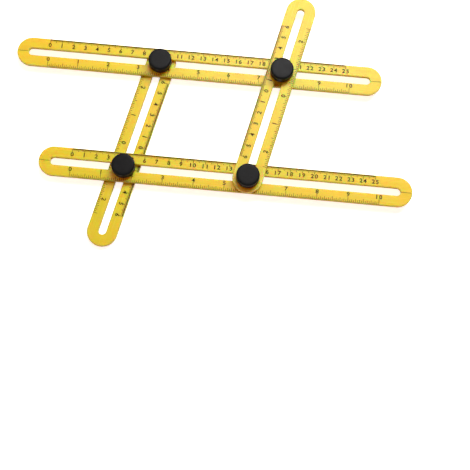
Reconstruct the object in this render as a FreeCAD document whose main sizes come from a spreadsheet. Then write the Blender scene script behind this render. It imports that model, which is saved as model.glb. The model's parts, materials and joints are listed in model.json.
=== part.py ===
"""Multi-angle folding ruler: four slotted plastic arms joined by four bolts with black clamp knobs.

Millimetres, +Z up. The origin is on the axis of the lower left bolt, on the flat back of its head,
the plane that the tool lies on. X runs along the two long arms, from their left tips to their right.
The arms lie in three layers: the left short arm at the back, the two long arms side by side above it,
and the right short arm on top. Each joint is a bolt whose square neck sits in the slot of its rear
arm, so that the bolt turns with that arm and slides along it. Its round shank passes the slot of the
front arm, and a knob moulded round a hexagonal brass insert clamps both arms through a washer.
"""
import FreeCAD, Part
import math
import os
import Sketcher

os.makedirs("parts", exist_ok=True)
doc = FreeCAD.newDocument("folding_ruler")

SIZES = [
    ("arm_width", 25.0, "across a long or short arm"),
    ("arm_thickness", 3.2, "every arm"),
    ("long_arm_length", 308.0, "tip to tip"),
    ("short_arm_length", 178.0, "tip to tip"),
    ("slot_width", 6.2, "the same on all arms"),
    ("slot_end_wall", 9.8, "material between a slot's end and the tip"),
    ("edge_chamfer", 0.3, "broken edges of the arms"),
    ("fold_angle", 78.0, "short arms to long arms, at rest, degrees"),
    ("pivot_base", 102.2, "left to right bolts, along a long arm"),
    ("pivot_side", 96.0, "lower to upper bolts, along a short arm"),
    ("lower_left_reach", 70.6, "left tip of the lower long arm to its left bolt"),
    ("upper_left_reach", 121.4, "left tip of the upper long arm to its left bolt"),
    ("left_end_play", 0.9, "upper left bolt to the end of its travel in the left arm"),
    ("right_end_play", 0.1, "lower right bolt to the end of its travel in the right arm"),
    ("slot_clearance", 0.15, "each side of a neck or shank in a slot"),
    ("neck_corner", 1.6, "corner radius of the square neck"),
    ("neck_gap", 0.2, "neck stops this far below the top of its arm"),
    ("head_diameter", 14.0, "low round bolt head"),
    ("head_thickness", 1.6, "bolt head"),
    ("head_edge", 0.4, "chamfer of the head's back edge"),
    ("thread_reach", 4.5, "length of shank inside the insert"),
    ("thread_tip", 0.6, "chamfer at the shank's tip"),
    ("washer_diameter", 15.0, "under each knob"),
    ("washer_thickness", 0.8, "under each knob"),
    ("washer_clearance", 0.1, "radial, washer on shank"),
    ("insert_flats", 10.0, "across the flats of the hexagonal insert"),
    ("insert_length", 5.0, "hexagonal insert, flush with the knob's foot"),
    ("thread_clearance", 0.05, "radial, insert on shank"),
    ("knob_diameter", 19.2, "clamp knob"),
    ("knob_height", 7.5, "clamp knob"),
    ("knob_round", 1.6, "radius that the three flats of the knob's top edge follow"),
]

sheet = doc.addObject("Spreadsheet::Sheet", "sizes")
for row, (alias, value, note) in enumerate(SIZES, start=1):
    sheet.set(f"A{row}", str(value))
    sheet.setAlias(f"A{row}", alias)
    sheet.set(f"B{row}", note)
doc.recompute()

# Sizes that follow from the driving ones, as expressions
SHANK_RADIUS = "(sizes.slot_width / 2 - sizes.slot_clearance)"
NECK_WIDTH = "(sizes.slot_width - 2 * sizes.slot_clearance)"
SHORT_TRAVEL = "(sizes.short_arm_length / 2 - sizes.slot_end_wall - sizes.slot_width / 2)"
LEFT_CENTRE = f"(sizes.pivot_side - {SHORT_TRAVEL} + sizes.left_end_play)"
RIGHT_CENTRE = f"({SHORT_TRAVEL} - sizes.right_end_play)"
SHANK_TOP = ("(sizes.head_thickness + 2 * sizes.arm_thickness + sizes.washer_thickness"
             " + sizes.thread_reach)")
FOLD = "sizes.fold_angle * 1 deg"
ALONG_X = f"cos({FOLD})"
ALONG_Y = f"sin({FOLD})"

# Heights: the back of each layer, and where a washer lies on the middle and the top layer
BACK_LAYER = "sizes.head_thickness"
MIDDLE_LAYER = "(sizes.head_thickness + sizes.arm_thickness)"
TOP_LAYER = "(sizes.head_thickness + 2 * sizes.arm_thickness)"
ABOVE_TOP = "(sizes.head_thickness + 3 * sizes.arm_thickness)"

# A length below this is none, for finding edges by their boxes
TINY = 1e-5
# Where sketch lines are first drawn, before the constraints take over
GUESS_HALF_SPAN = 40.0
GUESS_RADIUS = 5.0
GUESS_PROFILE = (3.0, 2.0)
GUESS_HALF_NECK = 2.0
GUESS_HEXAGON = 5.0
GUESS_BORE = 2.0


def new_body(name):
    """An empty body whose label is the name of its file."""
    body = doc.addObject("PartDesign::Body", name)
    body.Label = name
    return body


def new_sketch(body, name, role):
    """A sketch on one of the body's own origin planes."""
    sketch = body.newObject("Sketcher::SketchObject", name)
    plane = [f for f in body.Origin.OriginFeatures if f.Role == role][0]
    sketch.AttachmentSupport = [(plane, "")]
    sketch.MapMode = "FlatFace"
    return sketch


def place(body, x, y, z, angle="0 deg"):
    """Bind the body's place and its turn about Z to expressions."""
    body.Placement = FreeCAD.Placement(FreeCAD.Vector(), FreeCAD.Rotation(FreeCAD.Vector(0, 0, 1), 1))
    body.setExpression("Placement.Base.x", x)
    body.setExpression("Placement.Base.y", y)
    body.setExpression("Placement.Base.z", z)
    body.setExpression("Placement.Rotation.Angle", angle)


def add_stadium(sketch, label, span, radius):
    """A slot-shaped outline about the origin: two half circles, span apart, and two straight sides."""
    first = sketch.GeometryCount
    half, r = GUESS_HALF_SPAN, GUESS_RADIUS
    up = FreeCAD.Vector(0, 0, 1)
    quarter = math.pi / 2
    top, right, bottom, left = first, first + 1, first + 2, first + 3
    corners = [FreeCAD.Vector(x, y, 0) for x, y in ((-half, r), (half, r), (half, -r), (-half, -r))]
    right_end = Part.Circle(FreeCAD.Vector(half, 0, 0), up, r)
    left_end = Part.Circle(FreeCAD.Vector(-half, 0, 0), up, r)
    sketch.addGeometry(Part.LineSegment(corners[0], corners[1]))
    sketch.addGeometry(Part.ArcOfCircle(right_end, -quarter, quarter))
    sketch.addGeometry(Part.LineSegment(corners[2], corners[3]))
    sketch.addGeometry(Part.ArcOfCircle(left_end, quarter, 3 * quarter))
    for a, a_end, b, b_end in ((top, 2, right, 2), (right, 1, bottom, 1),
                               (bottom, 2, left, 2), (left, 1, top, 1)):
        sketch.addConstraint(Sketcher.Constraint("Tangent", a, a_end, b, b_end))
    sketch.addConstraint(Sketcher.Constraint("Horizontal", top))
    sketch.addConstraint(Sketcher.Constraint("Symmetric", left, 3, right, 3, -1, 1))
    sketch.addConstraint(Sketcher.Constraint("PointOnObject", right, 3, -1))
    for kind, value, expression in (("span", 2 * half, span), ("radius", r, radius)):
        if kind == "span":
            constraint = Sketcher.Constraint("DistanceX", left, 3, right, 3, value)
        else:
            constraint = Sketcher.Constraint("Radius", right, value)
        number = sketch.addConstraint(constraint)
        sketch.renameConstraint(number, f"{label}_{kind}")
        sketch.setExpression(f"Constraints.{label}_{kind}", expression)


def add_profile(sketch, corners):
    """A closed outline of straight lines; a corner is (name, radius, height) with None for zero."""
    guess_r, guess_h = GUESS_PROFILE
    guess = [(0.0 if r is None else guess_r + i, 0.0 if h is None else guess_h + i)
             for i, (_, r, h) in enumerate(corners)]
    count = len(corners)
    for i in range(count):
        a, b = guess[i], guess[(i + 1) % count]
        sketch.addGeometry(Part.LineSegment(FreeCAD.Vector(a[0], a[1], 0), FreeCAD.Vector(b[0], b[1], 0)))
    for i in range(count):
        sketch.addConstraint(Sketcher.Constraint("Coincident", i, 2, (i + 1) % count, 1))
    for i, (name, radius, height) in enumerate(corners):
        if radius is None:
            sketch.addConstraint(Sketcher.Constraint("PointOnObject", i, 1, -2))
        else:
            number = sketch.addConstraint(Sketcher.Constraint("DistanceX", -1, 1, i, 1, guess[i][0]))
            sketch.renameConstraint(number, f"{name}_radius")
            sketch.setExpression(f"Constraints.{name}_radius", radius)
        if height is None:
            sketch.addConstraint(Sketcher.Constraint("PointOnObject", i, 1, -1))
        else:
            number = sketch.addConstraint(Sketcher.Constraint("DistanceY", -1, 1, i, 1, guess[i][1]))
            sketch.renameConstraint(number, f"{name}_height")
            sketch.setExpression(f"Constraints.{name}_height", height)


def revolve(body, name, corners):
    """A turned form about Z, from a half profile of corners (name, radius, height)."""
    sketch = new_sketch(body, f"{name}_profile", "XZ_Plane")
    add_profile(sketch, corners)
    turned = body.newObject("PartDesign::Revolution", name)
    turned.Profile = sketch
    turned.ReferenceAxis = (sketch, ["V_Axis"])
    turned.Angle = 360.0
    doc.recompute()


def edges_where(feature, test):
    """Names of the feature's edges that pass a test of their bounding box."""
    return [f"Edge{i}" for i, edge in enumerate(feature.Shape.Edges, start=1) if test(edge.BoundBox)]


def make_arm(name, length, x, y, z, angle):
    """A flat arm with half-round ends and one long slot, padded from its outline, edges broken."""
    body = new_body(name)
    sketch = new_sketch(body, f"{name}_outline", "XY_Plane")
    add_stadium(sketch, "outer", f"{length} - sizes.arm_width", "sizes.arm_width / 2")
    add_stadium(sketch, "slot", f"{length} - 2 * sizes.slot_end_wall - sizes.slot_width",
                "sizes.slot_width / 2")
    pad = body.newObject("PartDesign::Pad", f"{name}_pad")
    pad.Profile = sketch
    pad.setExpression("Length", "sizes.arm_thickness")
    doc.recompute()
    chamfer = body.newObject("PartDesign::Chamfer", f"{name}_edges")
    chamfer.Base = (pad, edges_where(pad, lambda box: box.ZLength < TINY))
    chamfer.setExpression("Size", "sizes.edge_chamfer")
    place(body, x, y, z, angle)
    return body


def make_bolt(name, x, y, z, angle):
    """A low round head, a square neck with rounded corners and a round shank with a chamfered tip."""
    body = new_body(name)
    head = "sizes.head_diameter / 2"
    revolve(body, f"{name}_turned", [
        ("axis_foot", None, None),
        ("back", f"{head} - sizes.head_edge", None),
        ("rim_low", head, "sizes.head_edge"),
        ("rim_high", head, "sizes.head_thickness"),
        ("seat", SHANK_RADIUS, "sizes.head_thickness"),
        ("tip_low", SHANK_RADIUS, f"{SHANK_TOP} - sizes.thread_tip"),
        ("tip_high", f"{SHANK_RADIUS} - sizes.thread_tip", SHANK_TOP),
        ("axis_top", None, SHANK_TOP),
    ])
    sketch = new_sketch(body, f"{name}_neck_outline", "XY_Plane")
    sketch.setExpression("AttachmentOffset.Base.z", "sizes.head_thickness")
    half = GUESS_HALF_NECK
    signs = ((-1, -1), (1, -1), (1, 1), (-1, 1))
    corners = [FreeCAD.Vector(x * half, y * half, 0) for x, y in signs]
    for i in range(4):
        sketch.addGeometry(Part.LineSegment(corners[i], corners[(i + 1) % 4]))
    for i in range(4):
        sketch.addConstraint(Sketcher.Constraint("Coincident", i, 2, (i + 1) % 4, 1))
        sketch.addConstraint(Sketcher.Constraint("Horizontal" if i % 2 == 0 else "Vertical", i))
    sketch.addConstraint(Sketcher.Constraint("Symmetric", 0, 1, 1, 2, -1, 1))
    for label, kind, end in (("wide", "DistanceX", 0), ("deep", "DistanceY", 1)):
        number = sketch.addConstraint(Sketcher.Constraint(kind, end, 1, end, 2, 2 * half))
        sketch.renameConstraint(number, label)
        sketch.setExpression(f"Constraints.{label}", NECK_WIDTH)
    neck = body.newObject("PartDesign::Pad", f"{name}_neck")
    neck.Profile = sketch
    neck.setExpression("Length", "sizes.arm_thickness - sizes.neck_gap")
    doc.recompute()
    reach = sheet.slot_width / 2 - sheet.slot_clearance
    corner_edges = edges_where(neck, lambda box: max(box.XLength, box.YLength) < TINY
                               and abs(abs(box.XMin) - reach) < TINY
                               and abs(abs(box.YMin) - reach) < TINY)
    fillet = body.newObject("PartDesign::Fillet", f"{name}_neck_corners")
    fillet.Base = (neck, corner_edges)
    fillet.setExpression("Radius", "sizes.neck_corner")
    place(body, x, y, z, angle)
    return body


def make_washer(name, x, y, z):
    """A plain flat washer with a running fit on the shank."""
    body = new_body(name)
    bore = f"{SHANK_RADIUS} + sizes.washer_clearance"
    outer = "sizes.washer_diameter / 2"
    revolve(body, f"{name}_ring", [
        ("bore_low", bore, None),
        ("rim_low", outer, None),
        ("rim_high", outer, "sizes.washer_thickness"),
        ("bore_high", bore, "sizes.washer_thickness"),
    ])
    place(body, x, y, z)
    return body


def add_hexagon(sketch):
    """The insert's outline: six equal sides with their corners on a construction circle."""
    up = FreeCAD.Vector(0, 0, 1)
    corners = [FreeCAD.Vector(GUESS_HEXAGON * math.cos(math.pi * i / 3),
                              GUESS_HEXAGON * math.sin(math.pi * i / 3), 0) for i in range(6)]
    for i in range(6):
        sketch.addGeometry(Part.LineSegment(corners[i], corners[(i + 1) % 6]))
    circle = sketch.addGeometry(Part.Circle(FreeCAD.Vector(), up, GUESS_HEXAGON), True)
    sketch.addConstraint(Sketcher.Constraint("Coincident", circle, 3, -1, 1))
    number = sketch.addConstraint(Sketcher.Constraint("Radius", circle, GUESS_HEXAGON))
    sketch.renameConstraint(number, "corner_radius")
    sketch.setExpression("Constraints.corner_radius", "sizes.insert_flats / sqrt(3)")
    for i in range(6):
        sketch.addConstraint(Sketcher.Constraint("Coincident", i, 2, (i + 1) % 6, 1))
        sketch.addConstraint(Sketcher.Constraint("PointOnObject", i, 1, circle))
    for i in range(5):
        sketch.addConstraint(Sketcher.Constraint("Equal", i, i + 1))
    sketch.addConstraint(Sketcher.Constraint("Horizontal", 1))


def make_insert(name, x, y, z):
    """A hexagonal brass insert, its bore a running fit on the bolt's thread."""
    body = new_body(name)
    sketch = new_sketch(body, f"{name}_outline", "XY_Plane")
    add_hexagon(sketch)
    bore = sketch.addGeometry(Part.Circle(FreeCAD.Vector(), FreeCAD.Vector(0, 0, 1), GUESS_BORE))
    sketch.addConstraint(Sketcher.Constraint("Coincident", bore, 3, -1, 1))
    number = sketch.addConstraint(Sketcher.Constraint("Radius", bore, GUESS_BORE))
    sketch.renameConstraint(number, "bore_radius")
    sketch.setExpression("Constraints.bore_radius", f"{SHANK_RADIUS} + sizes.thread_clearance")
    pad = body.newObject("PartDesign::Pad", f"{name}_pad")
    pad.Profile = sketch
    pad.setExpression("Length", "sizes.insert_length")
    place(body, x, y, z)
    return body


def make_knob(name, x, y, z):
    """A smooth round knob, its top edge broken in three flats, with a hexagonal pocket for its insert."""
    body = new_body(name)
    rim = "sizes.knob_diameter / 2"
    steep_drop = "sizes.knob_round / 2"
    shallow_drop = "sizes.knob_round * (1 - cos(30 deg))"
    revolve(body, f"{name}_turned", [
        ("axis_low", None, None),
        ("foot", rim, None),
        ("side_high", rim, "sizes.knob_height - sizes.knob_round"),
        ("edge_low", f"{rim} - {shallow_drop}", f"sizes.knob_height - {steep_drop}"),
        ("edge_high", f"{rim} - {steep_drop}", f"sizes.knob_height - {shallow_drop}"),
        ("top_rim", f"{rim} - sizes.knob_round", "sizes.knob_height"),
        ("axis_high", None, "sizes.knob_height"),
    ])
    sketch = new_sketch(body, f"{name}_pocket_outline", "XY_Plane")
    add_hexagon(sketch)
    pocket = body.newObject("PartDesign::Pocket", f"{name}_pocket")
    pocket.Profile = sketch
    pocket.Reversed = True
    pocket.setExpression("Length", "sizes.insert_length")
    place(body, x, y, z)
    return body


# Arms
make_arm("lower_long_arm", "sizes.long_arm_length",
         "sizes.long_arm_length / 2 - sizes.lower_left_reach", "0", MIDDLE_LAYER, "0 deg")
make_arm("upper_long_arm", "sizes.long_arm_length",
         f"sizes.pivot_side * {ALONG_X} + sizes.long_arm_length / 2 - sizes.upper_left_reach",
         f"sizes.pivot_side * {ALONG_Y}", MIDDLE_LAYER, "0 deg")
make_arm("left_short_arm", "sizes.short_arm_length",
         f"{LEFT_CENTRE} * {ALONG_X}", f"{LEFT_CENTRE} * {ALONG_Y}", BACK_LAYER, FOLD)
make_arm("right_short_arm", "sizes.short_arm_length",
         f"sizes.pivot_base + {RIGHT_CENTRE} * {ALONG_X}", f"{RIGHT_CENTRE} * {ALONG_Y}",
         TOP_LAYER, FOLD)

# The four joints: where each is, the turn of its bolt, the back of its head and its washer's height
JOINTS = [
    ("lower_left", "0", "0", FOLD, "0", TOP_LAYER),
    ("upper_left", f"sizes.pivot_side * {ALONG_X}", f"sizes.pivot_side * {ALONG_Y}",
     FOLD, "0", TOP_LAYER),
    ("lower_right", "sizes.pivot_base", "0", "0 deg", "sizes.arm_thickness", ABOVE_TOP),
    ("upper_right", f"sizes.pivot_base + sizes.pivot_side * {ALONG_X}",
     f"sizes.pivot_side * {ALONG_Y}", "0 deg", "sizes.arm_thickness", ABOVE_TOP),
]
for corner, x, y, turn, head_back, washer_foot in JOINTS:
    knob_foot = f"{washer_foot} + sizes.washer_thickness"
    make_bolt(f"bolt_{corner}", x, y, head_back, turn)
    make_washer(f"washer_{corner}", x, y, washer_foot)
    make_insert(f"insert_{corner}", x, y, knob_foot)
    make_knob(f"knob_{corner}", x, y, knob_foot)

doc.recompute()

for item in doc.Objects:
    if "Invalid" in item.State or "Error" in item.State:
        raise RuntimeError(f"{item.Name}: {item.State}")
    if item.TypeId == "Sketcher::SketchObject" and item.solve() != 0:
        raise RuntimeError(f"{item.Name} doesn't solve")

bodies = [item for item in doc.Objects if item.TypeId == "PartDesign::Body"]
for body in bodies:
    if body.Shape.isNull() or not body.Shape.isValid() or len(body.Shape.Solids) != 1:
        raise RuntimeError(f"{body.Label} has no single valid solid")
for body in bodies:
    body.Shape.exportStep(f"parts/{body.Label}.step")
    box = body.Shape.BoundBox
    print(f"{body.Label}: {body.Shape.Volume:.1f} mm3, x {box.XMin:.1f} to {box.XMax:.1f},"
          f" y {box.YMin:.1f} to {box.YMax:.1f}, z {box.ZMin:.1f} to {box.ZMax:.1f}")
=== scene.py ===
"""The looks of a multi-angle folding ruler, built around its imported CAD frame.

Four slotted yellow plastic arms with printed scales are joined by four bolts with black clamp knobs.
Everything is in metres in the CAD frame: X along the two long arms, Y across them, +Z up to the knobs.
"""

import json
import math

import bpy
import numpy as np
from mathutils import Matrix, Vector


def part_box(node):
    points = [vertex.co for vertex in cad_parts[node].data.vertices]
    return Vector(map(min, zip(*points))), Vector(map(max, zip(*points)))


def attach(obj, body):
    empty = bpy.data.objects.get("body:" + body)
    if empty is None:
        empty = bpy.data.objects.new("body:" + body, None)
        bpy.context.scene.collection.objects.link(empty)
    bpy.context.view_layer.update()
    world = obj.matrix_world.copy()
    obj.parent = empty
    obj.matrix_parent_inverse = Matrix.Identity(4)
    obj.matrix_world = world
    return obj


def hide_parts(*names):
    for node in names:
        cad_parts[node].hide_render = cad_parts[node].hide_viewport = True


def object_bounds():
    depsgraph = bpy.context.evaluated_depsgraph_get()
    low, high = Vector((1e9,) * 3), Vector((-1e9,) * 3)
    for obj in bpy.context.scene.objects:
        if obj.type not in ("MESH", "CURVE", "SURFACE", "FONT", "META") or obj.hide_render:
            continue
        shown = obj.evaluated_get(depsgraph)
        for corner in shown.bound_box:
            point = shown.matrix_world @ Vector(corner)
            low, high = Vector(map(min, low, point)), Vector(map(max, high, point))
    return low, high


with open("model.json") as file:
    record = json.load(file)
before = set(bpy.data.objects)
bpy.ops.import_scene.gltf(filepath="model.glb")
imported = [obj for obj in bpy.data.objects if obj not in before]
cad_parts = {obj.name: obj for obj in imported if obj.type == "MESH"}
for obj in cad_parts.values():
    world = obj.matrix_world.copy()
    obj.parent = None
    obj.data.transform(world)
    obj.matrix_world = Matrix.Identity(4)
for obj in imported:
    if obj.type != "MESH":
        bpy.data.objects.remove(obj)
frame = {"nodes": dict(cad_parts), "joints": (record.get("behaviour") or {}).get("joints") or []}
cad_low, cad_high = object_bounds()

MM = 0.001
CM = 0.01
INCH = 0.0254

# Camera: the photograph's frame and its focal length in pixels, the sensor in millimetres, then the
# point it looks at, its distance from it, and its angles in degrees: azimuth, elevation and roll
FRAME_PIXELS = 470.0
FOCAL_PIXELS = 1000.0
SENSOR_WIDTH = 36.0
CLIP_START = 0.01
CAMERA_TARGET = (0.09612, -0.04691, 0.0016)
CAMERA_DISTANCE = 0.81494
CAMERA_ANGLES = (-4.54, 77.18, 0.82)

# Studio: the room's own light, warm as if thrown back by wooden walls, and the paper. The paper shows a
# white of its own, weaker up to the near distance so that shadows show, and full from the far one on
ROOM_FILL = 0.33
ROOM_COLOUR = "#FF8A40"
PAPER_COLOUR = "#F2F2F2"
WHITE = "#FFFFFF"
FLOOR_WHITE = 0.8
FLOOR_CLEAR = (0.35, 0.70)
FLOOR_SIZE = 8.0
FLOOR_GAP = 0.05 * MM

# Lamps, each with its name, place, disc size, power in watts and colour, all aimed at one point
LAMP_AIM = (0.08, 0.05, 0.0)
LAMPS = (
    ("overhead_softbox", (0.16, 0.62, 1.00), 0.55, 9.0, WHITE),
    ("key_softbox", (0.70, 0.85, 0.95), 0.45, 11.5, WHITE),
    ("left_fill", (-0.90, 0.40, 0.90), 0.90, 3.5, "#FFDCB4"),
    ("front_fill", (0.10, -1.10, 0.90), 0.90, 2.0, "#FFB070"),
)

# A noise pattern's values lie mostly between these
NOISE_LOW = 0.3
NOISE_HIGH = 0.7

# Yellow ABS: the size of its colour clouds, the place in their pattern that darkens the same ends of
# the tool as the real one's, and their colours. Mould skin is real size. A scratch has a length, a
# spacing and a depth, and is drawn wider than a real one so that it shows
CLOUD_SIZE = 90 * MM
CLOUD_PLACE = (1.01, 0.17, 0.43)
ABS_CLOUDS = ((0.32, "#CACB20"), (0.50, "#D0C823"), (0.68, "#D6C427"))
SKIN_SIZE = 1.5 * MM
SKIN_DEPTH = 0.02 * MM
SCRATCH_SIZE = (60 * MM, 0.5 * MM, 5 * MM)

# Painted shade on its rounded edges and walls, painted light on one arm's rim, and its colour in a
# scuff. A scuff starts and is full at these values of the scratch pattern, and lets the plastic's colour
# through
ABS_EDGE_SHADE = "#ACBC4E"
ABS_RIM_LIGHT = "#CAD25C"
ABS_SCUFF = "#E2DA70"
SCUFF_START = 0.56
SCUFF_FULL = 0.68
SCUFF_OPACITY = 0.35

# Its gloss, and how many millimetres red, green and blue light travel in it
ABS_IOR = 1.54
ABS_SHINE = 0.19
ABS_ROUGHNESS = (0.26, 0.44)
LIGHT_REACH = (5.0, 1.5, 0.15)

# Black nylon: bloom on its top, a grain drawn coarser than real so that it shows, and a side
# darkened with painted shade
BLOOM_SIZE = 6 * MM
NYLON_BLOOM = ((0.35, "#070708"), (0.70, "#0D0D0E"))
NYLON_SIDE_SHADE = "#020202"
GRAIN_SIZE = 0.35 * MM
GRAIN_DEPTH = 0.02 * MM
NYLON_IOR = 1.53
NYLON_SHINE = 0.08
NYLON_ROUGHNESS = (0.34, 0.44)

# Ink: patches where it is thin and full
INK_PATCH_SIZE = 1.2 * MM
INK_COLOURS = ((0.35, "#2B2406"), (0.70, "#463B0C"))
INK_IOR = 1.5
INK_SHINE = 0.06
INK_ROUGHNESS = 0.38

# Metals: mottle and turning marks, each metal's dark and light colours and its range of roughness
MOTTLE_SIZE = 2 * MM
TURNING_SIZE = 0.25 * MM
TURNING_DEPTH = 0.01 * MM
ZINC_ON_STEEL = ("#9DA1A6", "#BEC2C6", (0.26, 0.40))
BRASS = ("#B8923F", "#D2AE5C", (0.24, 0.38))

# Arms, beyond what their CAD nodes' boxes say: the slot, the round of the moulded edges, the gap that
# keeps an underside clear of what lies below, the points on each end's arc, along each side and round
# each edge, and the rows across the top face as shares of the way from the rim to the slot
SLOT_WIDTH = 6.2 * MM
SLOT_END_WALL = 9.8 * MM
ARM_EDGE = 0.5 * MM
UNDER_GAP = 0.03 * MM
ARC_POINTS = 33
SIDE_POINTS = 23
EDGE_POINTS = 5
ACROSS_FACE = (0.08, 0.16, 0.3, 0.7, 0.92)
ARM_SMOOTH_ANGLE = 50

# Painted shade on the outer and the slot's edges, as a share of the full edge shade. One arm's lower
# end has painted light round its rim instead, over this length, fading in and fading towards the slot
OUTER_EDGE_SHADE = 0.8
SLOT_EDGE_SHADE = 0.6
RIM_LIT_ARM = "right_short_arm"
RIM_LIGHT_END = 24 * MM
RIM_LIGHT_FADE = 8 * MM
RIM_LIGHT_ACROSS = (1, 0.6, 0, 0, 0)
FOLD_DIRECTION = next(j["axis"] for j in frame["joints"] if j["name"] == "left_arm_slide")

# Printing: the ink's top is a hair below the top of the CAD arm and the moulded face lies under it.
# Marks keep this far from the arm's edge, in four line widths
INK_LEVEL = 0.003 * MM
INK_STANDS = 0.02 * MM
INK_SUNK = 0.01 * MM
TICK_INSET = 0.5 * MM
HAIR = 0.12 * MM
FINE = 0.29 * MM
MEDIUM = 0.30 * MM
BOLD = 0.33 * MM

# Tick lengths: at each millimetre, half and whole centimetre, then at each sixteenth, eighth, quarter
# and half of an inch, and at each whole inch of a long and a short arm
CENTIMETRE_TICKS = (1.9 * MM, 2.7 * MM, 3.4 * MM)
INCH_TICKS = (1.8 * MM, 2.3 * MM, 2.8 * MM, 3.4 * MM)
WHOLE_INCH_LONG_ARM = 4.4 * MM
WHOLE_INCH_SHORT_ARM = 3.2 * MM

# Scales: where a long arm's zero is from its tip, how far scales run in millimetres and sixteenths, the
# weight of the centimetre scale's base line, and how far numerals stand from the arm's edge
LONG_ZERO = 27.0 * MM
LONG_MILLIMETRES = 250
LONG_SIXTEENTHS = 160
SHORT_MILLIMETRES = 60
SHORT_SIXTEENTHS = 40
LONG_BASE_LINE = 0.75 * MM
SHORT_BASE_LINE = 0.7 * MM
RIM_LIT_ARM_BASE_LINE = 0.35 * MM
LONG_NUMERALS = (5.6 * MM, 6.8 * MM)
SHORT_NUMERALS = (5.2 * MM, 5.1 * MM)

# Numerals: height, stroke weight, widening and spacing as shares of the font's own, and its smoothness
NUMERAL_HEIGHT = 3.5 * MM
NUMERAL_WEIGHT = 0.02
NUMERAL_WIDENING = 1.1
NUMERAL_SPACING = 1.25
NUMERAL_CURVE_STEPS = 4

# Knobs: rounds of the top and the foot, the insert's pocket, the points round the knob and on each
# round, and the rings of the top face as shares of its radius
KNOB_EDGE = 1.5 * MM
KNOB_FOOT_EDGE = 0.3 * MM
POCKET_FLATS = 10.0 * MM
POCKET_DEPTH = 5.0 * MM
KNOB_STEPS = 96
KNOB_EDGE_POINTS = 9
KNOB_FOOT_POINTS = 4
KNOB_SIDE_POINTS = 2
KNOB_TOP_RINGS = (0.75, 0.5, 0.25)
KNOB_SMOOTH_ANGLE = 40
TINY = 1e-6


def linear(hex_colour):
    """An sRGB hex colour as linear red, green, blue and alpha."""
    parts = [int(hex_colour[i:i + 2], 16) / 255 for i in (1, 3, 5)]
    return [c / 12.92 if c <= 0.04045 else ((c + 0.055) / 1.055) ** 2.4 for c in parts] + [1.0]


def add_node(tree, kind, values=(), links=(), stops=(), **settings):
    """Add a node, set its properties, input values and ramp stops, and link sockets to its inputs."""
    made = tree.nodes.new(kind)
    for name, value in settings.items():
        setattr(made, name, value)
    for name, value in dict(values).items():
        made.inputs[name].default_value = value
    for name, socket in dict(links).items():
        tree.links.new(socket, made.inputs[name])
    for index, (position, hex_colour) in enumerate(stops):
        elements = made.color_ramp.elements
        stop = elements[index] if index < len(elements) else elements.new(position)
        stop.position = position
        stop.color = linear(hex_colour)
    return made


def new_material(name):
    """An empty node material and its tree."""
    material = bpy.data.materials.new(name)
    material.use_nodes = True
    material.node_tree.nodes.clear()
    return material, material.node_tree


# Camera and studio

def photo_camera():
    """The photograph's own viewpoint: a long lens high above the tool, slightly from the left."""
    azimuth, elevation, roll = (math.radians(angle) for angle in CAMERA_ANGLES)
    forward = Vector((math.sin(azimuth) * math.cos(elevation),
                      math.cos(azimuth) * math.cos(elevation), -math.sin(elevation)))
    right = forward.cross(Vector((0, 0, 1))).normalized()
    up = right.cross(forward)
    across = math.cos(roll) * right + math.sin(roll) * up
    above = -math.sin(roll) * right + math.cos(roll) * up
    data = bpy.data.cameras.new("photo_camera")
    data.sensor_width = SENSOR_WIDTH
    data.lens = FOCAL_PIXELS / FRAME_PIXELS * SENSOR_WIDTH
    data.clip_start = CLIP_START
    camera = bpy.data.objects.new("photo_camera", data)
    place = Vector(CAMERA_TARGET) - CAMERA_DISTANCE * forward
    turn = Matrix((across, above, -forward)).transposed().to_4x4()
    camera.matrix_world = Matrix.Translation(place) @ turn
    bpy.context.scene.collection.objects.link(camera)
    bpy.context.scene.camera = camera


def area_lamp(name, place, aim, size, power, colour):
    """A soft round lamp at a place, turned to face its aim."""
    data = bpy.data.lights.new(name, "AREA")
    data.shape = "DISK"
    data.size = size
    data.energy = power
    data.color = linear(colour)[:3]
    lamp = bpy.data.objects.new(name, data)
    lamp.location = place
    lamp.rotation_mode = "QUATERNION"
    lamp.rotation_quaternion = (Vector(aim) - Vector(place)).to_track_quat("-Z", "Y")
    bpy.context.scene.collection.objects.link(lamp)


def seen_directly(tree):
    """1 for the rays that see a backdrop itself: camera, glossy and transmission rays."""
    path = add_node(tree, "ShaderNodeLightPath").outputs
    first = add_node(tree, "ShaderNodeMath", links={0: path["Is Camera Ray"], 1: path["Is Glossy Ray"]},
                     operation="MAXIMUM")
    return add_node(tree, "ShaderNodeMath", links={0: first.outputs[0], 1: path["Is Transmission Ray"]},
                    operation="MAXIMUM").outputs[0]


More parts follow.
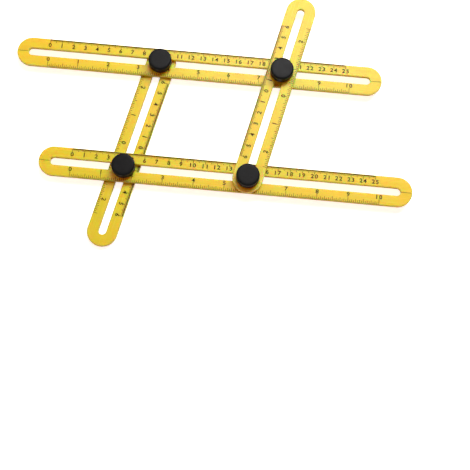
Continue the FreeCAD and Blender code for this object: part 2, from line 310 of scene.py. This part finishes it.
def studio():
    """A white paper floor under soft light that is brighter from behind on the right."""
    world = bpy.data.worlds.new("studio")
    bpy.context.scene.world = world
    world.use_nodes = True
    tree = world.node_tree
    tree.nodes.clear()
    fill = add_node(tree, "ShaderNodeBackground", {"Color": linear(ROOM_COLOUR), "Strength": ROOM_FILL})
    white = add_node(tree, "ShaderNodeBackground", {"Color": linear(WHITE), "Strength": 1.0})
    mix = add_node(tree, "ShaderNodeMixShader",
                   links={0: seen_directly(tree), 1: fill.outputs[0], 2: white.outputs[0]})
    add_node(tree, "ShaderNodeOutputWorld", links={"Surface": mix.outputs[0]})

    material, tree = new_material("white_paper_sweep")
    paper = add_node(tree, "ShaderNodeBsdfDiffuse", {"Color": linear(PAPER_COLOUR)})
    glow = add_node(tree, "ShaderNodeEmission", {"Color": linear(WHITE)})
    coords = add_node(tree, "ShaderNodeTexCoord").outputs["Object"]
    away = add_node(tree, "ShaderNodeVectorMath", links={0: coords}, operation="LENGTH")
    near, far = FLOOR_CLEAR
    level = add_node(tree, "ShaderNodeMapRange",
                     {"From Min": near, "From Max": far, "To Min": FLOOR_WHITE, "To Max": 1.0},
                     {"Value": away.outputs["Value"]})
    own_white = add_node(tree, "ShaderNodeMath", links={0: seen_directly(tree), 1: level.outputs[0]},
                         operation="MULTIPLY")
    tree.links.new(own_white.outputs[0], glow.inputs["Strength"])
    both = add_node(tree, "ShaderNodeAddShader", links={0: paper.outputs[0], 1: glow.outputs[0]})
    add_node(tree, "ShaderNodeOutputMaterial", links={"Surface": both.outputs[0]})
    half = FLOOR_SIZE / 2
    data = bpy.data.meshes.new("paper_floor")
    data.from_pydata([(-half, -half, 0), (half, -half, 0), (half, half, 0), (-half, half, 0)], [],
                     [(0, 1, 2, 3)])
    data.materials.append(material)
    floor = bpy.data.objects.new("paper_floor", data)
    floor.location = (0, 0, cad_low.z - FLOOR_GAP)
    bpy.context.scene.collection.objects.link(floor)

    for name, place, size, power, colour in LAMPS:
        area_lamp(name, place, LAMP_AIM, size, power, colour)


# Materials

def moulded_arm_plastic(name, direction):
    """Injection-moulded yellow ABS: it lets a little light through, so its edges and shadows glow
    orange, and it has cloudy colour, a faint mould skin and fine scratches along the arm. Its rounded
    edges and slot walls are darkened with painted shade, and one arm's lower rim is paled with painted
    light."""
    material, tree = new_material(name)
    coords = add_node(tree, "ShaderNodeTexCoord").outputs["Object"]
    moved = add_node(tree, "ShaderNodeMapping", {"Location": CLOUD_PLACE}, {"Vector": coords})
    clouds = add_node(tree, "ShaderNodeTexNoise", {"Scale": 1 / CLOUD_SIZE, "Detail": 3.0},
                      {"Vector": moved.outputs[0]})
    colour = add_node(tree, "ShaderNodeValToRGB", links={"Fac": clouds.outputs["Fac"]},
                      stops=ABS_CLOUDS)
    # Painted shade: rounded edges and slot walls are mixed towards a darker olive by the edge attribute
    edge = add_node(tree, "ShaderNodeAttribute", attribute_name="edge")
    edge_shaded = add_node(tree, "ShaderNodeMix", {"B": linear(ABS_EDGE_SHADE)},
                      {"Factor": edge.outputs["Fac"], "A": colour.outputs["Color"]}, data_type="RGBA")
    # Painted light: a pale rim round one arm's lower end, a painted highlight that also lightens the
    # knob's shadow there
    rim_light = add_node(tree, "ShaderNodeAttribute", attribute_name="rim_light")
    rim_lit = add_node(tree, "ShaderNodeMix", {"B": linear(ABS_RIM_LIGHT)},
                        {"Factor": rim_light.outputs["Fac"], "A": edge_shaded.outputs["Result"]},
                        data_type="RGBA")
    angle = math.atan2(direction[1], direction[0])
    turned = add_node(tree, "ShaderNodeMapping", {"Rotation": (0, 0, -angle)}, {"Vector": coords})
    stretched = add_node(tree, "ShaderNodeMapping", {"Scale": [1 / size for size in SCRATCH_SIZE]},
                         {"Vector": turned.outputs[0]})
    hairs = add_node(tree, "ShaderNodeTexNoise", {"Scale": 1.0, "Detail": 4.0, "Roughness": 0.65},
                     {"Vector": stretched.outputs[0]})
    scuffs = add_node(tree, "ShaderNodeMapRange",
                      {"From Min": SCUFF_START, "From Max": SCUFF_FULL, "To Max": SCUFF_OPACITY},
                      {"Value": hairs.outputs["Fac"]})
    scuffed = add_node(tree, "ShaderNodeMix", {"B": linear(ABS_SCUFF)},
                       {"Factor": scuffs.outputs[0], "A": rim_lit.outputs["Result"]}, data_type="RGBA")
    smoothest, roughest = ABS_ROUGHNESS
    rough = add_node(tree, "ShaderNodeMapRange",
                     {"From Min": NOISE_LOW, "From Max": NOISE_HIGH, "To Min": smoothest,
                      "To Max": roughest}, {"Value": hairs.outputs["Fac"]})
    skin = add_node(tree, "ShaderNodeTexNoise", {"Scale": 1 / SKIN_SIZE, "Detail": 2.0},
                    {"Vector": coords})
    bump = add_node(tree, "ShaderNodeBump", {"Strength": 0.25, "Distance": SKIN_DEPTH},
                    {"Height": skin.outputs["Fac"]})
    shader = add_node(tree, "ShaderNodeBsdfPrincipled",
                      {"IOR": ABS_IOR, "Specular IOR Level": ABS_SHINE, "Subsurface Weight": 1.0,
                       "Subsurface Scale": MM, "Subsurface Radius": LIGHT_REACH},
                      {"Base Color": scuffed.outputs["Result"], "Roughness": rough.outputs[0],
                       "Normal": bump.outputs[0]})
    add_node(tree, "ShaderNodeOutputMaterial", links={"Surface": shader.outputs[0]})
    return material


def black_knob_plastic():
    """Moulded black nylon: a matt skin with fine grain and a faint bloom on top, and painted shade
    that darkens its side.
    """
    material, tree = new_material("moulded_black_nylon")
    coords = add_node(tree, "ShaderNodeTexCoord").outputs["Object"]
    bloom = add_node(tree, "ShaderNodeTexNoise", {"Scale": 1 / BLOOM_SIZE, "Detail": 4.0},
                     {"Vector": coords})
    colour = add_node(tree, "ShaderNodeValToRGB", links={"Fac": bloom.outputs["Fac"]},
                      stops=NYLON_BLOOM)
    smoothest, roughest = NYLON_ROUGHNESS
    rough = add_node(tree, "ShaderNodeMapRange",
                     {"From Min": NOISE_LOW, "From Max": NOISE_HIGH, "To Min": smoothest,
                      "To Max": roughest}, {"Value": bloom.outputs["Fac"]})
    side = add_node(tree, "ShaderNodeAttribute", attribute_name="side")
    # Painted shade: the side and the round of the top edge are mixed towards near black
    shaded = add_node(tree, "ShaderNodeMix", {"B": linear(NYLON_SIDE_SHADE)},
                      {"Factor": side.outputs["Fac"], "A": colour.outputs["Color"]}, data_type="RGBA")
    grain = add_node(tree, "ShaderNodeTexNoise", {"Scale": 1 / GRAIN_SIZE, "Detail": 2.0},
                     {"Vector": coords})
    bump = add_node(tree, "ShaderNodeBump", {"Strength": 0.3, "Distance": GRAIN_DEPTH},
                    {"Height": grain.outputs["Fac"]})
    shader = add_node(tree, "ShaderNodeBsdfPrincipled",
                      {"IOR": NYLON_IOR, "Specular IOR Level": NYLON_SHINE},
                      {"Base Color": shaded.outputs["Result"], "Roughness": rough.outputs[0],
                       "Normal": bump.outputs[0]})
    add_node(tree, "ShaderNodeOutputMaterial", links={"Surface": shader.outputs[0]})
    return material


def printing_ink():
    """Pad-printed black ink, thin in places, so that a little of the yellow comes through."""
    material, tree = new_material("pad_printed_ink")
    coords = add_node(tree, "ShaderNodeTexCoord").outputs["Object"]
    patches = add_node(tree, "ShaderNodeTexNoise", {"Scale": 1 / INK_PATCH_SIZE, "Detail": 3.0},
                       {"Vector": coords})
    colour = add_node(tree, "ShaderNodeValToRGB", links={"Fac": patches.outputs["Fac"]},
                      stops=INK_COLOURS)
    shader = add_node(tree, "ShaderNodeBsdfPrincipled",
                      {"Roughness": INK_ROUGHNESS, "IOR": INK_IOR, "Specular IOR Level": INK_SHINE},
                      {"Base Color": colour.outputs["Color"]})
    add_node(tree, "ShaderNodeOutputMaterial", links={"Surface": shader.outputs[0]})
    return material


def turned_metal(name, dark, light, roughness):
    """Turned metal, bright, with a mottled sheen and fine turning marks."""
    material, tree = new_material(name)
    coords = add_node(tree, "ShaderNodeTexCoord").outputs["Object"]
    mottle = add_node(tree, "ShaderNodeTexNoise", {"Scale": 1 / MOTTLE_SIZE, "Detail": 5.0},
                      {"Vector": coords})
    colour = add_node(tree, "ShaderNodeValToRGB", links={"Fac": mottle.outputs["Fac"]},
                      stops=[(NOISE_LOW, dark), (NOISE_HIGH, light)])
    smoothest, roughest = roughness
    rough = add_node(tree, "ShaderNodeMapRange",
                     {"From Min": NOISE_LOW, "From Max": NOISE_HIGH, "To Min": smoothest,
                      "To Max": roughest}, {"Value": mottle.outputs["Fac"]})
    grain = add_node(tree, "ShaderNodeTexNoise", {"Scale": 1 / TURNING_SIZE, "Detail": 2.0},
                     {"Vector": coords})
    bump = add_node(tree, "ShaderNodeBump", {"Strength": 0.2, "Distance": TURNING_DEPTH},
                    {"Height": grain.outputs["Fac"]})
    shader = add_node(tree, "ShaderNodeBsdfPrincipled", {"Metallic": 1.0},
                      {"Base Color": colour.outputs["Color"], "Roughness": rough.outputs[0],
                       "Normal": bump.outputs[0]})
    add_node(tree, "ShaderNodeOutputMaterial", links={"Surface": shader.outputs[0]})
    return material


# Meshes

def new_piece(name, points, faces, material, body, smooth_angle=None):
    """An object at the origin from an array of points and one of faces, riding on a body."""
    data = bpy.data.meshes.new(name)
    data.from_pydata(points.tolist(), [], faces.tolist())
    data.materials.append(material)
    data.update()
    if smooth_angle is not None:
        data.shade_smooth()
        data.set_sharp_from_angle(angle=math.radians(smooth_angle))
    piece = bpy.data.objects.new(name, data)
    bpy.context.scene.collection.objects.link(piece)
    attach(piece, body)
    return piece


def grid_faces(rows, columns, close_rows):
    """Quads of a grid that is closed across its columns and, if asked, across its rows."""
    i = np.arange(rows if close_rows else rows - 1)[:, None]
    j = np.arange(columns)[None, :]
    below, after = (i + 1) % rows, (j + 1) % columns
    return np.stack([i * columns + j, i * columns + after, below * columns + after,
                     below * columns + j], axis=-1).reshape(-1, 4)


def arm_shape(low, high, length, width):
    """A slotted arm's surface about its own centre, as a grid closed both ways.

    Each row is a stadium: two half circles of one radius at plus and minus one half span, joined by
    straight sides. Row by row the stadium goes up the outer wall, round its top edge, in across the
    top face, over the slot's rim, down the slot's wall and out under the bottom face.
    """
    arc = np.linspace(-math.pi / 2, math.pi / 2, ARC_POINTS)
    side = np.linspace(1, -1, SIDE_POINTS + 2)[1:-1]
    angle = np.concatenate([arc, np.full(side.size, math.pi / 2), arc + math.pi,
                            np.full(side.size, -math.pi / 2)])
    reach = np.concatenate([np.ones(arc.size), side, -np.ones(arc.size), -side])
    outer_span, outer_radius = length / 2 - width / 2, width / 2
    slot_span, slot_radius = length / 2 - SLOT_END_WALL - SLOT_WIDTH / 2, SLOT_WIDTH / 2
    turn = np.linspace(0, math.pi / 2, EDGE_POINTS)
    inset, drop = ARM_EDGE * (1 - np.cos(turn)), ARM_EDGE * (1 - np.sin(turn))
    across = np.array(ACROSS_FACE)
    flat = np.zeros(across.size)
    outer = np.concatenate([np.ones(turn.size), flat, np.zeros(turn.size)])
    outer_band = outer + np.concatenate([np.zeros(turn.size), RIM_LIGHT_ACROSS, np.zeros(turn.size)])
    slot = np.concatenate([np.zeros(turn.size), flat, np.ones(turn.size)])
    level = np.concatenate([high - drop, np.full(across.size, high), (high - drop)[::-1],
                            low + drop, np.full(across.size, low), (low + drop)[::-1]])
    inward = np.concatenate([inset, np.full(across.size, ARM_EDGE), inset[::-1],
                             inset, np.full(across.size, ARM_EDGE), inset[::-1]])
    share = np.concatenate([np.zeros(turn.size), across, np.ones(turn.size),
                            np.ones(turn.size), across[::-1], np.zeros(turn.size)])
    span = (1 - share) * outer_span + share * slot_span
    radius = (1 - share) * (outer_radius - inward) + share * (slot_radius + inward)
    x = span[:, None] * reach + radius[:, None] * np.cos(angle)
    y = radius[:, None] * np.sin(angle)
    z = np.broadcast_to(level[:, None], x.shape)
    points = np.stack([x, y, z], axis=-1).reshape(-1, 3)
    # Masks per point: outer and slot edges for painted shade, the outer band for painted rim light
    painted_edge_masks = [np.repeat(np.concatenate([line, line[::-1]]), angle.size)
            for line in (outer, outer_band, slot)]
    return points, grid_faces(level.size, angle.size, True), painted_edge_masks


class Arm:
    """An arm's own frame: s runs along it, v across it to its left, from its centre."""

    def __init__(self, node, direction, length, width):
        low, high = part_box(node)
        self.node, self.length, self.width = node, length, width
        self.centre = (low + high) / 2
        self.along = np.array([direction[0], direction[1]], float)
        self.left = np.array([-direction[1], direction[0]], float)
        self.low, self.high = low.z, high.z

    def place(self, points):
        """Points (s, v, z) of the arm in the CAD frame."""
        flat = points[:, :1] * self.along + points[:, 1:2] * self.left
        return np.column_stack([flat + np.array([self.centre.x, self.centre.y]), points[:, 2]])


def long_and_short_arms():
    """The four arms, their lengths read from the CAD nodes' boxes."""
    low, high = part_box("lower_long_arm")
    long_length, width = high.x - low.x, high.y - low.y
    low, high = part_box("left_short_arm")
    short_length = (high.y - low.y - width) / FOLD_DIRECTION[1] + width
    return {
        "lower_long_arm": Arm("lower_long_arm", (1, 0), long_length, width),
        "upper_long_arm": Arm("upper_long_arm", (1, 0), long_length, width),
        "left_short_arm": Arm("left_short_arm", [-d for d in FOLD_DIRECTION], short_length, width),
        "right_short_arm": Arm("right_short_arm", FOLD_DIRECTION, short_length, width),
    }


def build_arm(arm, material):
    """The arm's moulded body with rounded edges, its underside just clear of what lies below."""
    top = arm.high - INK_LEVEL - INK_STANDS
    points, faces, (outer, outer_band, slot) = arm_shape(arm.low + UNDER_GAP, top, arm.length, arm.width)
    piece = new_piece(f"{arm.node}_body", arm.place(points), faces, material, arm.node,
                      ARM_SMOOTH_ANGLE)
    # Painted light round one arm's lower rim, fading in along the arm
    end = (arm.node == RIM_LIT_ARM) * np.clip(
        (-points[:, 0] - arm.length / 2 + RIM_LIGHT_END) / RIM_LIGHT_FADE, 0, 1)
    # Painted shade on outer edges and slot walls, left off where the rim light is painted
    for name, values in (("edge", OUTER_EDGE_SHADE * outer * (1 - end) + SLOT_EDGE_SHADE * slot),
                         ("rim_light", outer_band * end)):
        piece.data.attributes.new(name, "FLOAT", "POINT").data.foreach_set("value", values)
    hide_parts(arm.node)


# Printing

class Print:
    """Ink marks of one arm, gathered as boxes and numerals in the arm's own frame."""

    def __init__(self, arm):
        self.arm = arm
        self.points, self.faces, self.count = [], [], 0
        self.foot = arm.width / 2 - TICK_INSET
        self.high = arm.high - INK_LEVEL
        self.low = self.high - INK_STANDS - INK_SUNK

    def add(self, points, faces):
        """Keep some points and their faces, numbered on from those kept before."""
        self.points.append(points)
        self.faces.append(faces + self.count)
        self.count += len(points)

    def boxes(self, s, v, half_s, half_v):
        """A box at each (s, v), with its half sizes along and across; all are arrays or numbers."""
        s, v, half_s, half_v = np.atleast_1d(*np.broadcast_arrays(s, v, half_s, half_v))
        corner = np.array([(-1, -1), (1, -1), (1, 1), (-1, 1)], float)
        x = s[:, None] + half_s[:, None] * corner[:, 0]
        y = v[:, None] + half_v[:, None] * corner[:, 1]
        low = np.stack([x, y, np.full(x.shape, self.low)], axis=-1)
        high = np.stack([x, y, np.full(x.shape, self.high)], axis=-1)
        box = np.array([(3, 2, 1), (3, 1, 0), (4, 5, 6), (4, 6, 7), (0, 1, 5), (0, 5, 4),
                        (1, 2, 6), (1, 6, 5), (2, 3, 7), (2, 7, 6), (3, 0, 4), (3, 4, 7)])
        self.add(np.concatenate([low, high], axis=1).reshape(-1, 3),
                 (8 * np.arange(s.size)[:, None, None] + box).reshape(-1, 3))

    def base_line(self, first, last, edge, width):
        """A line along an edge of the arm, on whose inner side the ticks then stand; edge is +1 or -1
        for the arm's left or right side."""
        self.foot = self.arm.width / 2 - TICK_INSET - width
        self.boxes((first + last) / 2, edge * (self.foot + width / 2), (last - first + BOLD) / 2,
                   width / 2)

    def ticks(self, s, edge, length, width):
        """Ticks from the base line inwards, their lengths counted from the base line's outer side."""
        tip = self.arm.width / 2 - TICK_INSET - length
        self.boxes(s, edge * (self.foot + tip) / 2, width / 2, (self.foot - tip) / 2)

    def numeral(self, text, s, v):
        """A numeral centred at (s, v), upright across the arm."""
        points, faces = glyphs(text)
        level = self.low + points[:, 2] * (self.high - self.low)
        self.add(np.column_stack([s + points[:, 0] * NUMERAL_HEIGHT * NUMERAL_WIDENING,
                                  v + points[:, 1] * NUMERAL_HEIGHT, level]), faces)

    def finish(self, name, material):
        """One piece of all the marks, riding on the arm."""
        new_piece(name, self.arm.place(np.concatenate(self.points)), np.concatenate(self.faces),
                  material, self.arm.node)


# The numerals made so far, by their text
GLYPHS = {}


def glyphs(text):
    """A numeral's solid letters, 1 high, centred, from z 0 to 1, as points and triangles."""
    if text not in GLYPHS:
        curve = bpy.data.curves.new(f"numeral_{text}", "FONT")
        curve.body = text
        curve.extrude = 0.5
        curve.offset = NUMERAL_WEIGHT
        curve.space_character = NUMERAL_SPACING
        curve.resolution_u = NUMERAL_CURVE_STEPS
        temporary = bpy.data.objects.new(f"numeral_{text}", curve)
        bpy.context.scene.collection.objects.link(temporary)
        bpy.context.view_layer.update()
        mesh = bpy.data.meshes.new_from_object(temporary.evaluated_get(
            bpy.context.evaluated_depsgraph_get()))
        points = np.empty(len(mesh.vertices) * 3)
        mesh.vertices.foreach_get("co", points)
        points = points.reshape(-1, 3)
        low, high = points.min(0), points.max(0)
        points[:, :2] = (points[:, :2] - (low[:2] + high[:2]) / 2) / (high[1] - low[1])
        points[:, 2] = (points[:, 2] - low[2]) / (high[2] - low[2])
        mesh.calc_loop_triangles()
        faces = np.empty(len(mesh.loop_triangles) * 3, np.int32)
        mesh.loop_triangles.foreach_get("vertices", faces)
        GLYPHS[text] = points, faces.reshape(-1, 3)
        bpy.data.meshes.remove(mesh)
        bpy.data.objects.remove(temporary)
        bpy.data.curves.remove(curve)
    return GLYPHS[text]


def centimetre_scale(arm, zero, first, last, edge, numeral_from_edge, base_line):
    """A millimetre scale along an edge: a base line, and ticks longer at each 5 and 10 mm."""
    millimetre, half, whole = CENTIMETRE_TICKS
    marks = Print(arm)
    steps = np.arange(first, last + 1)
    marks.base_line(zero + first * MM, zero + last * MM, edge, base_line)
    marks.ticks(zero + steps[steps % 5 != 0] * MM, edge, millimetre, FINE)
    marks.ticks(zero + steps[steps % 10 == 5] * MM, edge, half, MEDIUM)
    marks.ticks(zero + steps[steps % 10 == 0] * MM, edge, whole, BOLD)
    for number in range(first // 10, last // 10 + 1):
        marks.numeral(str(abs(number)), zero + number * CM, edge * (arm.width / 2 - numeral_from_edge))
    marks.finish(f"centimetre_scale_{arm.node}", ink)


def inch_scale(arm, zero, first, last, edge, numeral_from_edge, whole):
    """An inch scale along an edge in sixteenths, its ticks longer at each coarser fraction."""
    sixteenth, eighth, quarter, half = INCH_TICKS
    marks = Print(arm)
    steps = np.arange(first, last + 1)
    marks.base_line(zero + first * INCH / 16, zero + last * INCH / 16, edge, HAIR)
    marks.ticks(zero + steps[steps % 2 == 1] * INCH / 16, edge, sixteenth, BOLD)
    marks.ticks(zero + steps[steps % 4 == 2] * INCH / 16, edge, eighth, BOLD)
    marks.ticks(zero + steps[steps % 8 == 4] * INCH / 16, edge, quarter, BOLD)
    marks.ticks(zero + steps[steps % 16 == 8] * INCH / 16, edge, half, BOLD)
    marks.ticks(zero + steps[steps % 16 == 0] * INCH / 16, edge, whole, BOLD)
    for number in range(math.ceil(first / 16), last // 16 + 1):
        marks.numeral(str(abs(number)), zero + number * INCH,
                      edge * (arm.width / 2 - numeral_from_edge))
    marks.finish(f"inch_scale_{arm.node}", ink)


def print_long_arm(arm):
    """Centimetres along the arm's left edge, inches along its right edge, and a line on each tip."""
    zero = -arm.length / 2 + LONG_ZERO
    from_left, from_right = LONG_NUMERALS
    centimetre_scale(arm, zero, 0, LONG_MILLIMETRES, 1, from_left, LONG_BASE_LINE)
    inch_scale(arm, zero, 0, LONG_SIXTEENTHS, -1, from_right, WHOLE_INCH_LONG_ARM)
    lines = Print(arm)
    middle = (arm.length - SLOT_END_WALL) / 2
    lines.boxes(np.array([-middle, middle]), 0.0, SLOT_END_WALL / 2 - ARM_EDGE, MEDIUM / 2)
    lines.finish(f"centre_marks_{arm.node}", ink)


def print_short_arm(arm, base_line):
    """Scales that run out both ways from zero at the arm's middle."""
    from_left, from_right = SHORT_NUMERALS
    centimetre_scale(arm, 0.0, -SHORT_MILLIMETRES, SHORT_MILLIMETRES, 1, from_left, base_line)
    inch_scale(arm, 0.0, -SHORT_SIXTEENTHS, SHORT_SIXTEENTHS, -1, from_right, WHOLE_INCH_SHORT_ARM)


def build_knob(corner, material):
    """A turned knob: a half profile, radius and height, carried round the bolt's axis, with a point at
    each pole. The profile goes from the pocket's ceiling down its wall, out under the foot, round its
    edge in a quarter circle, up the side and round the top's edge in another, and in across the top.
    The rings of the pocket follow a hexagon: its half width over a cosine."""
    node = f"knob_{corner}"
    low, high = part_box(node)
    centre = (low + high) / 2
    rim = (high.x - low.x) / 2
    turn = np.linspace(0, math.pi / 2, KNOB_EDGE_POINTS)
    foot_turn = np.linspace(0, math.pi / 2, KNOB_FOOT_POINTS)
    top_radius = rim - KNOB_EDGE
    side = np.linspace(low.z + KNOB_FOOT_EDGE, high.z - KNOB_EDGE, KNOB_SIDE_POINTS + 2)[1:-1]
    pocket = POCKET_FLATS / 2 * np.array([0.5, 1, 1])
    radius = np.concatenate([pocket, rim - KNOB_FOOT_EDGE * (1 - np.sin(foot_turn)),
                             np.full(side.size, rim), top_radius + KNOB_EDGE * np.cos(turn),
                             top_radius * np.array(KNOB_TOP_RINGS)])
    height = np.concatenate([low.z + POCKET_DEPTH * np.array([1, 1, 0]),
                             low.z + KNOB_FOOT_EDGE * (1 - np.cos(foot_turn)), side,
                             high.z - KNOB_EDGE * (1 - np.sin(turn)),
                             np.full(len(KNOB_TOP_RINGS), high.z)])
    angle = np.linspace(0, 2 * math.pi, KNOB_STEPS + 1)[:-1]
    sector = math.pi / 3
    hexagon = 1 / np.cos((angle + sector / 2) % sector - sector / 2)
    ring = radius[:, None] * np.where(np.arange(radius.size)[:, None] < pocket.size, hexagon, 1.0)
    x = centre.x + ring * np.cos(angle)
    y = centre.y + ring * np.sin(angle)
    z = np.broadcast_to(height[:, None], x.shape)
    poles = np.array([(centre.x, centre.y, low.z + POCKET_DEPTH), (centre.x, centre.y, high.z)])
    points = np.concatenate([np.stack([x, y, z], axis=-1).reshape(-1, 3), poles])
    quads = grid_faces(radius.size, angle.size, False)
    sides = np.concatenate([quads[:, [0, 1, 2]], quads[:, [0, 2, 3]]])
    first = np.arange(angle.size)
    after = np.roll(first, -1)
    last = (radius.size - 1) * angle.size
    pole = radius.size * angle.size
    fans = np.concatenate([
        np.column_stack([np.full(first.size, pole), after, first]),
        np.column_stack([np.full(first.size, pole + 1), last + first, last + after])])
    piece = new_piece(f"{node}_cap", points, np.concatenate([sides, fans]), material, node,
                      KNOB_SMOOTH_ANGLE)
    beside = np.concatenate([np.repeat(radius > top_radius - TINY, angle.size), [False, False]])
    piece.data.attributes.new("side", "FLOAT", "POINT").data.foreach_set("value", beside.astype(float))
    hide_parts(node)


photo_camera()
studio()

long_plastic = moulded_arm_plastic("yellow_abs_long_arm", (1, 0))
short_plastic = moulded_arm_plastic("yellow_abs_short_arm", FOLD_DIRECTION)
ink = printing_ink()
knob_plastic = black_knob_plastic()
steel = turned_metal("zinc_plated_steel", *ZINC_ON_STEEL)
brass = turned_metal("turned_brass", *BRASS)

arms = long_and_short_arms()
for arm in arms.values():
    if "long" in arm.node:
        build_arm(arm, long_plastic)
        print_long_arm(arm)
    else:
        build_arm(arm, short_plastic)
        print_short_arm(arm, RIM_LIT_ARM_BASE_LINE if arm.node == RIM_LIT_ARM else SHORT_BASE_LINE)

for corner in ("lower_left", "upper_left", "lower_right", "upper_right"):
    build_knob(corner, knob_plastic)
    metals = ((f"bolt_{corner}", steel), (f"washer_{corner}", steel), (f"insert_{corner}", brass))
    for node, metal in metals:
        slots = frame["nodes"][node].data.materials
        slots.clear()
        slots.append(metal)

bpy.context.scene.view_settings.view_transform = "Standard"
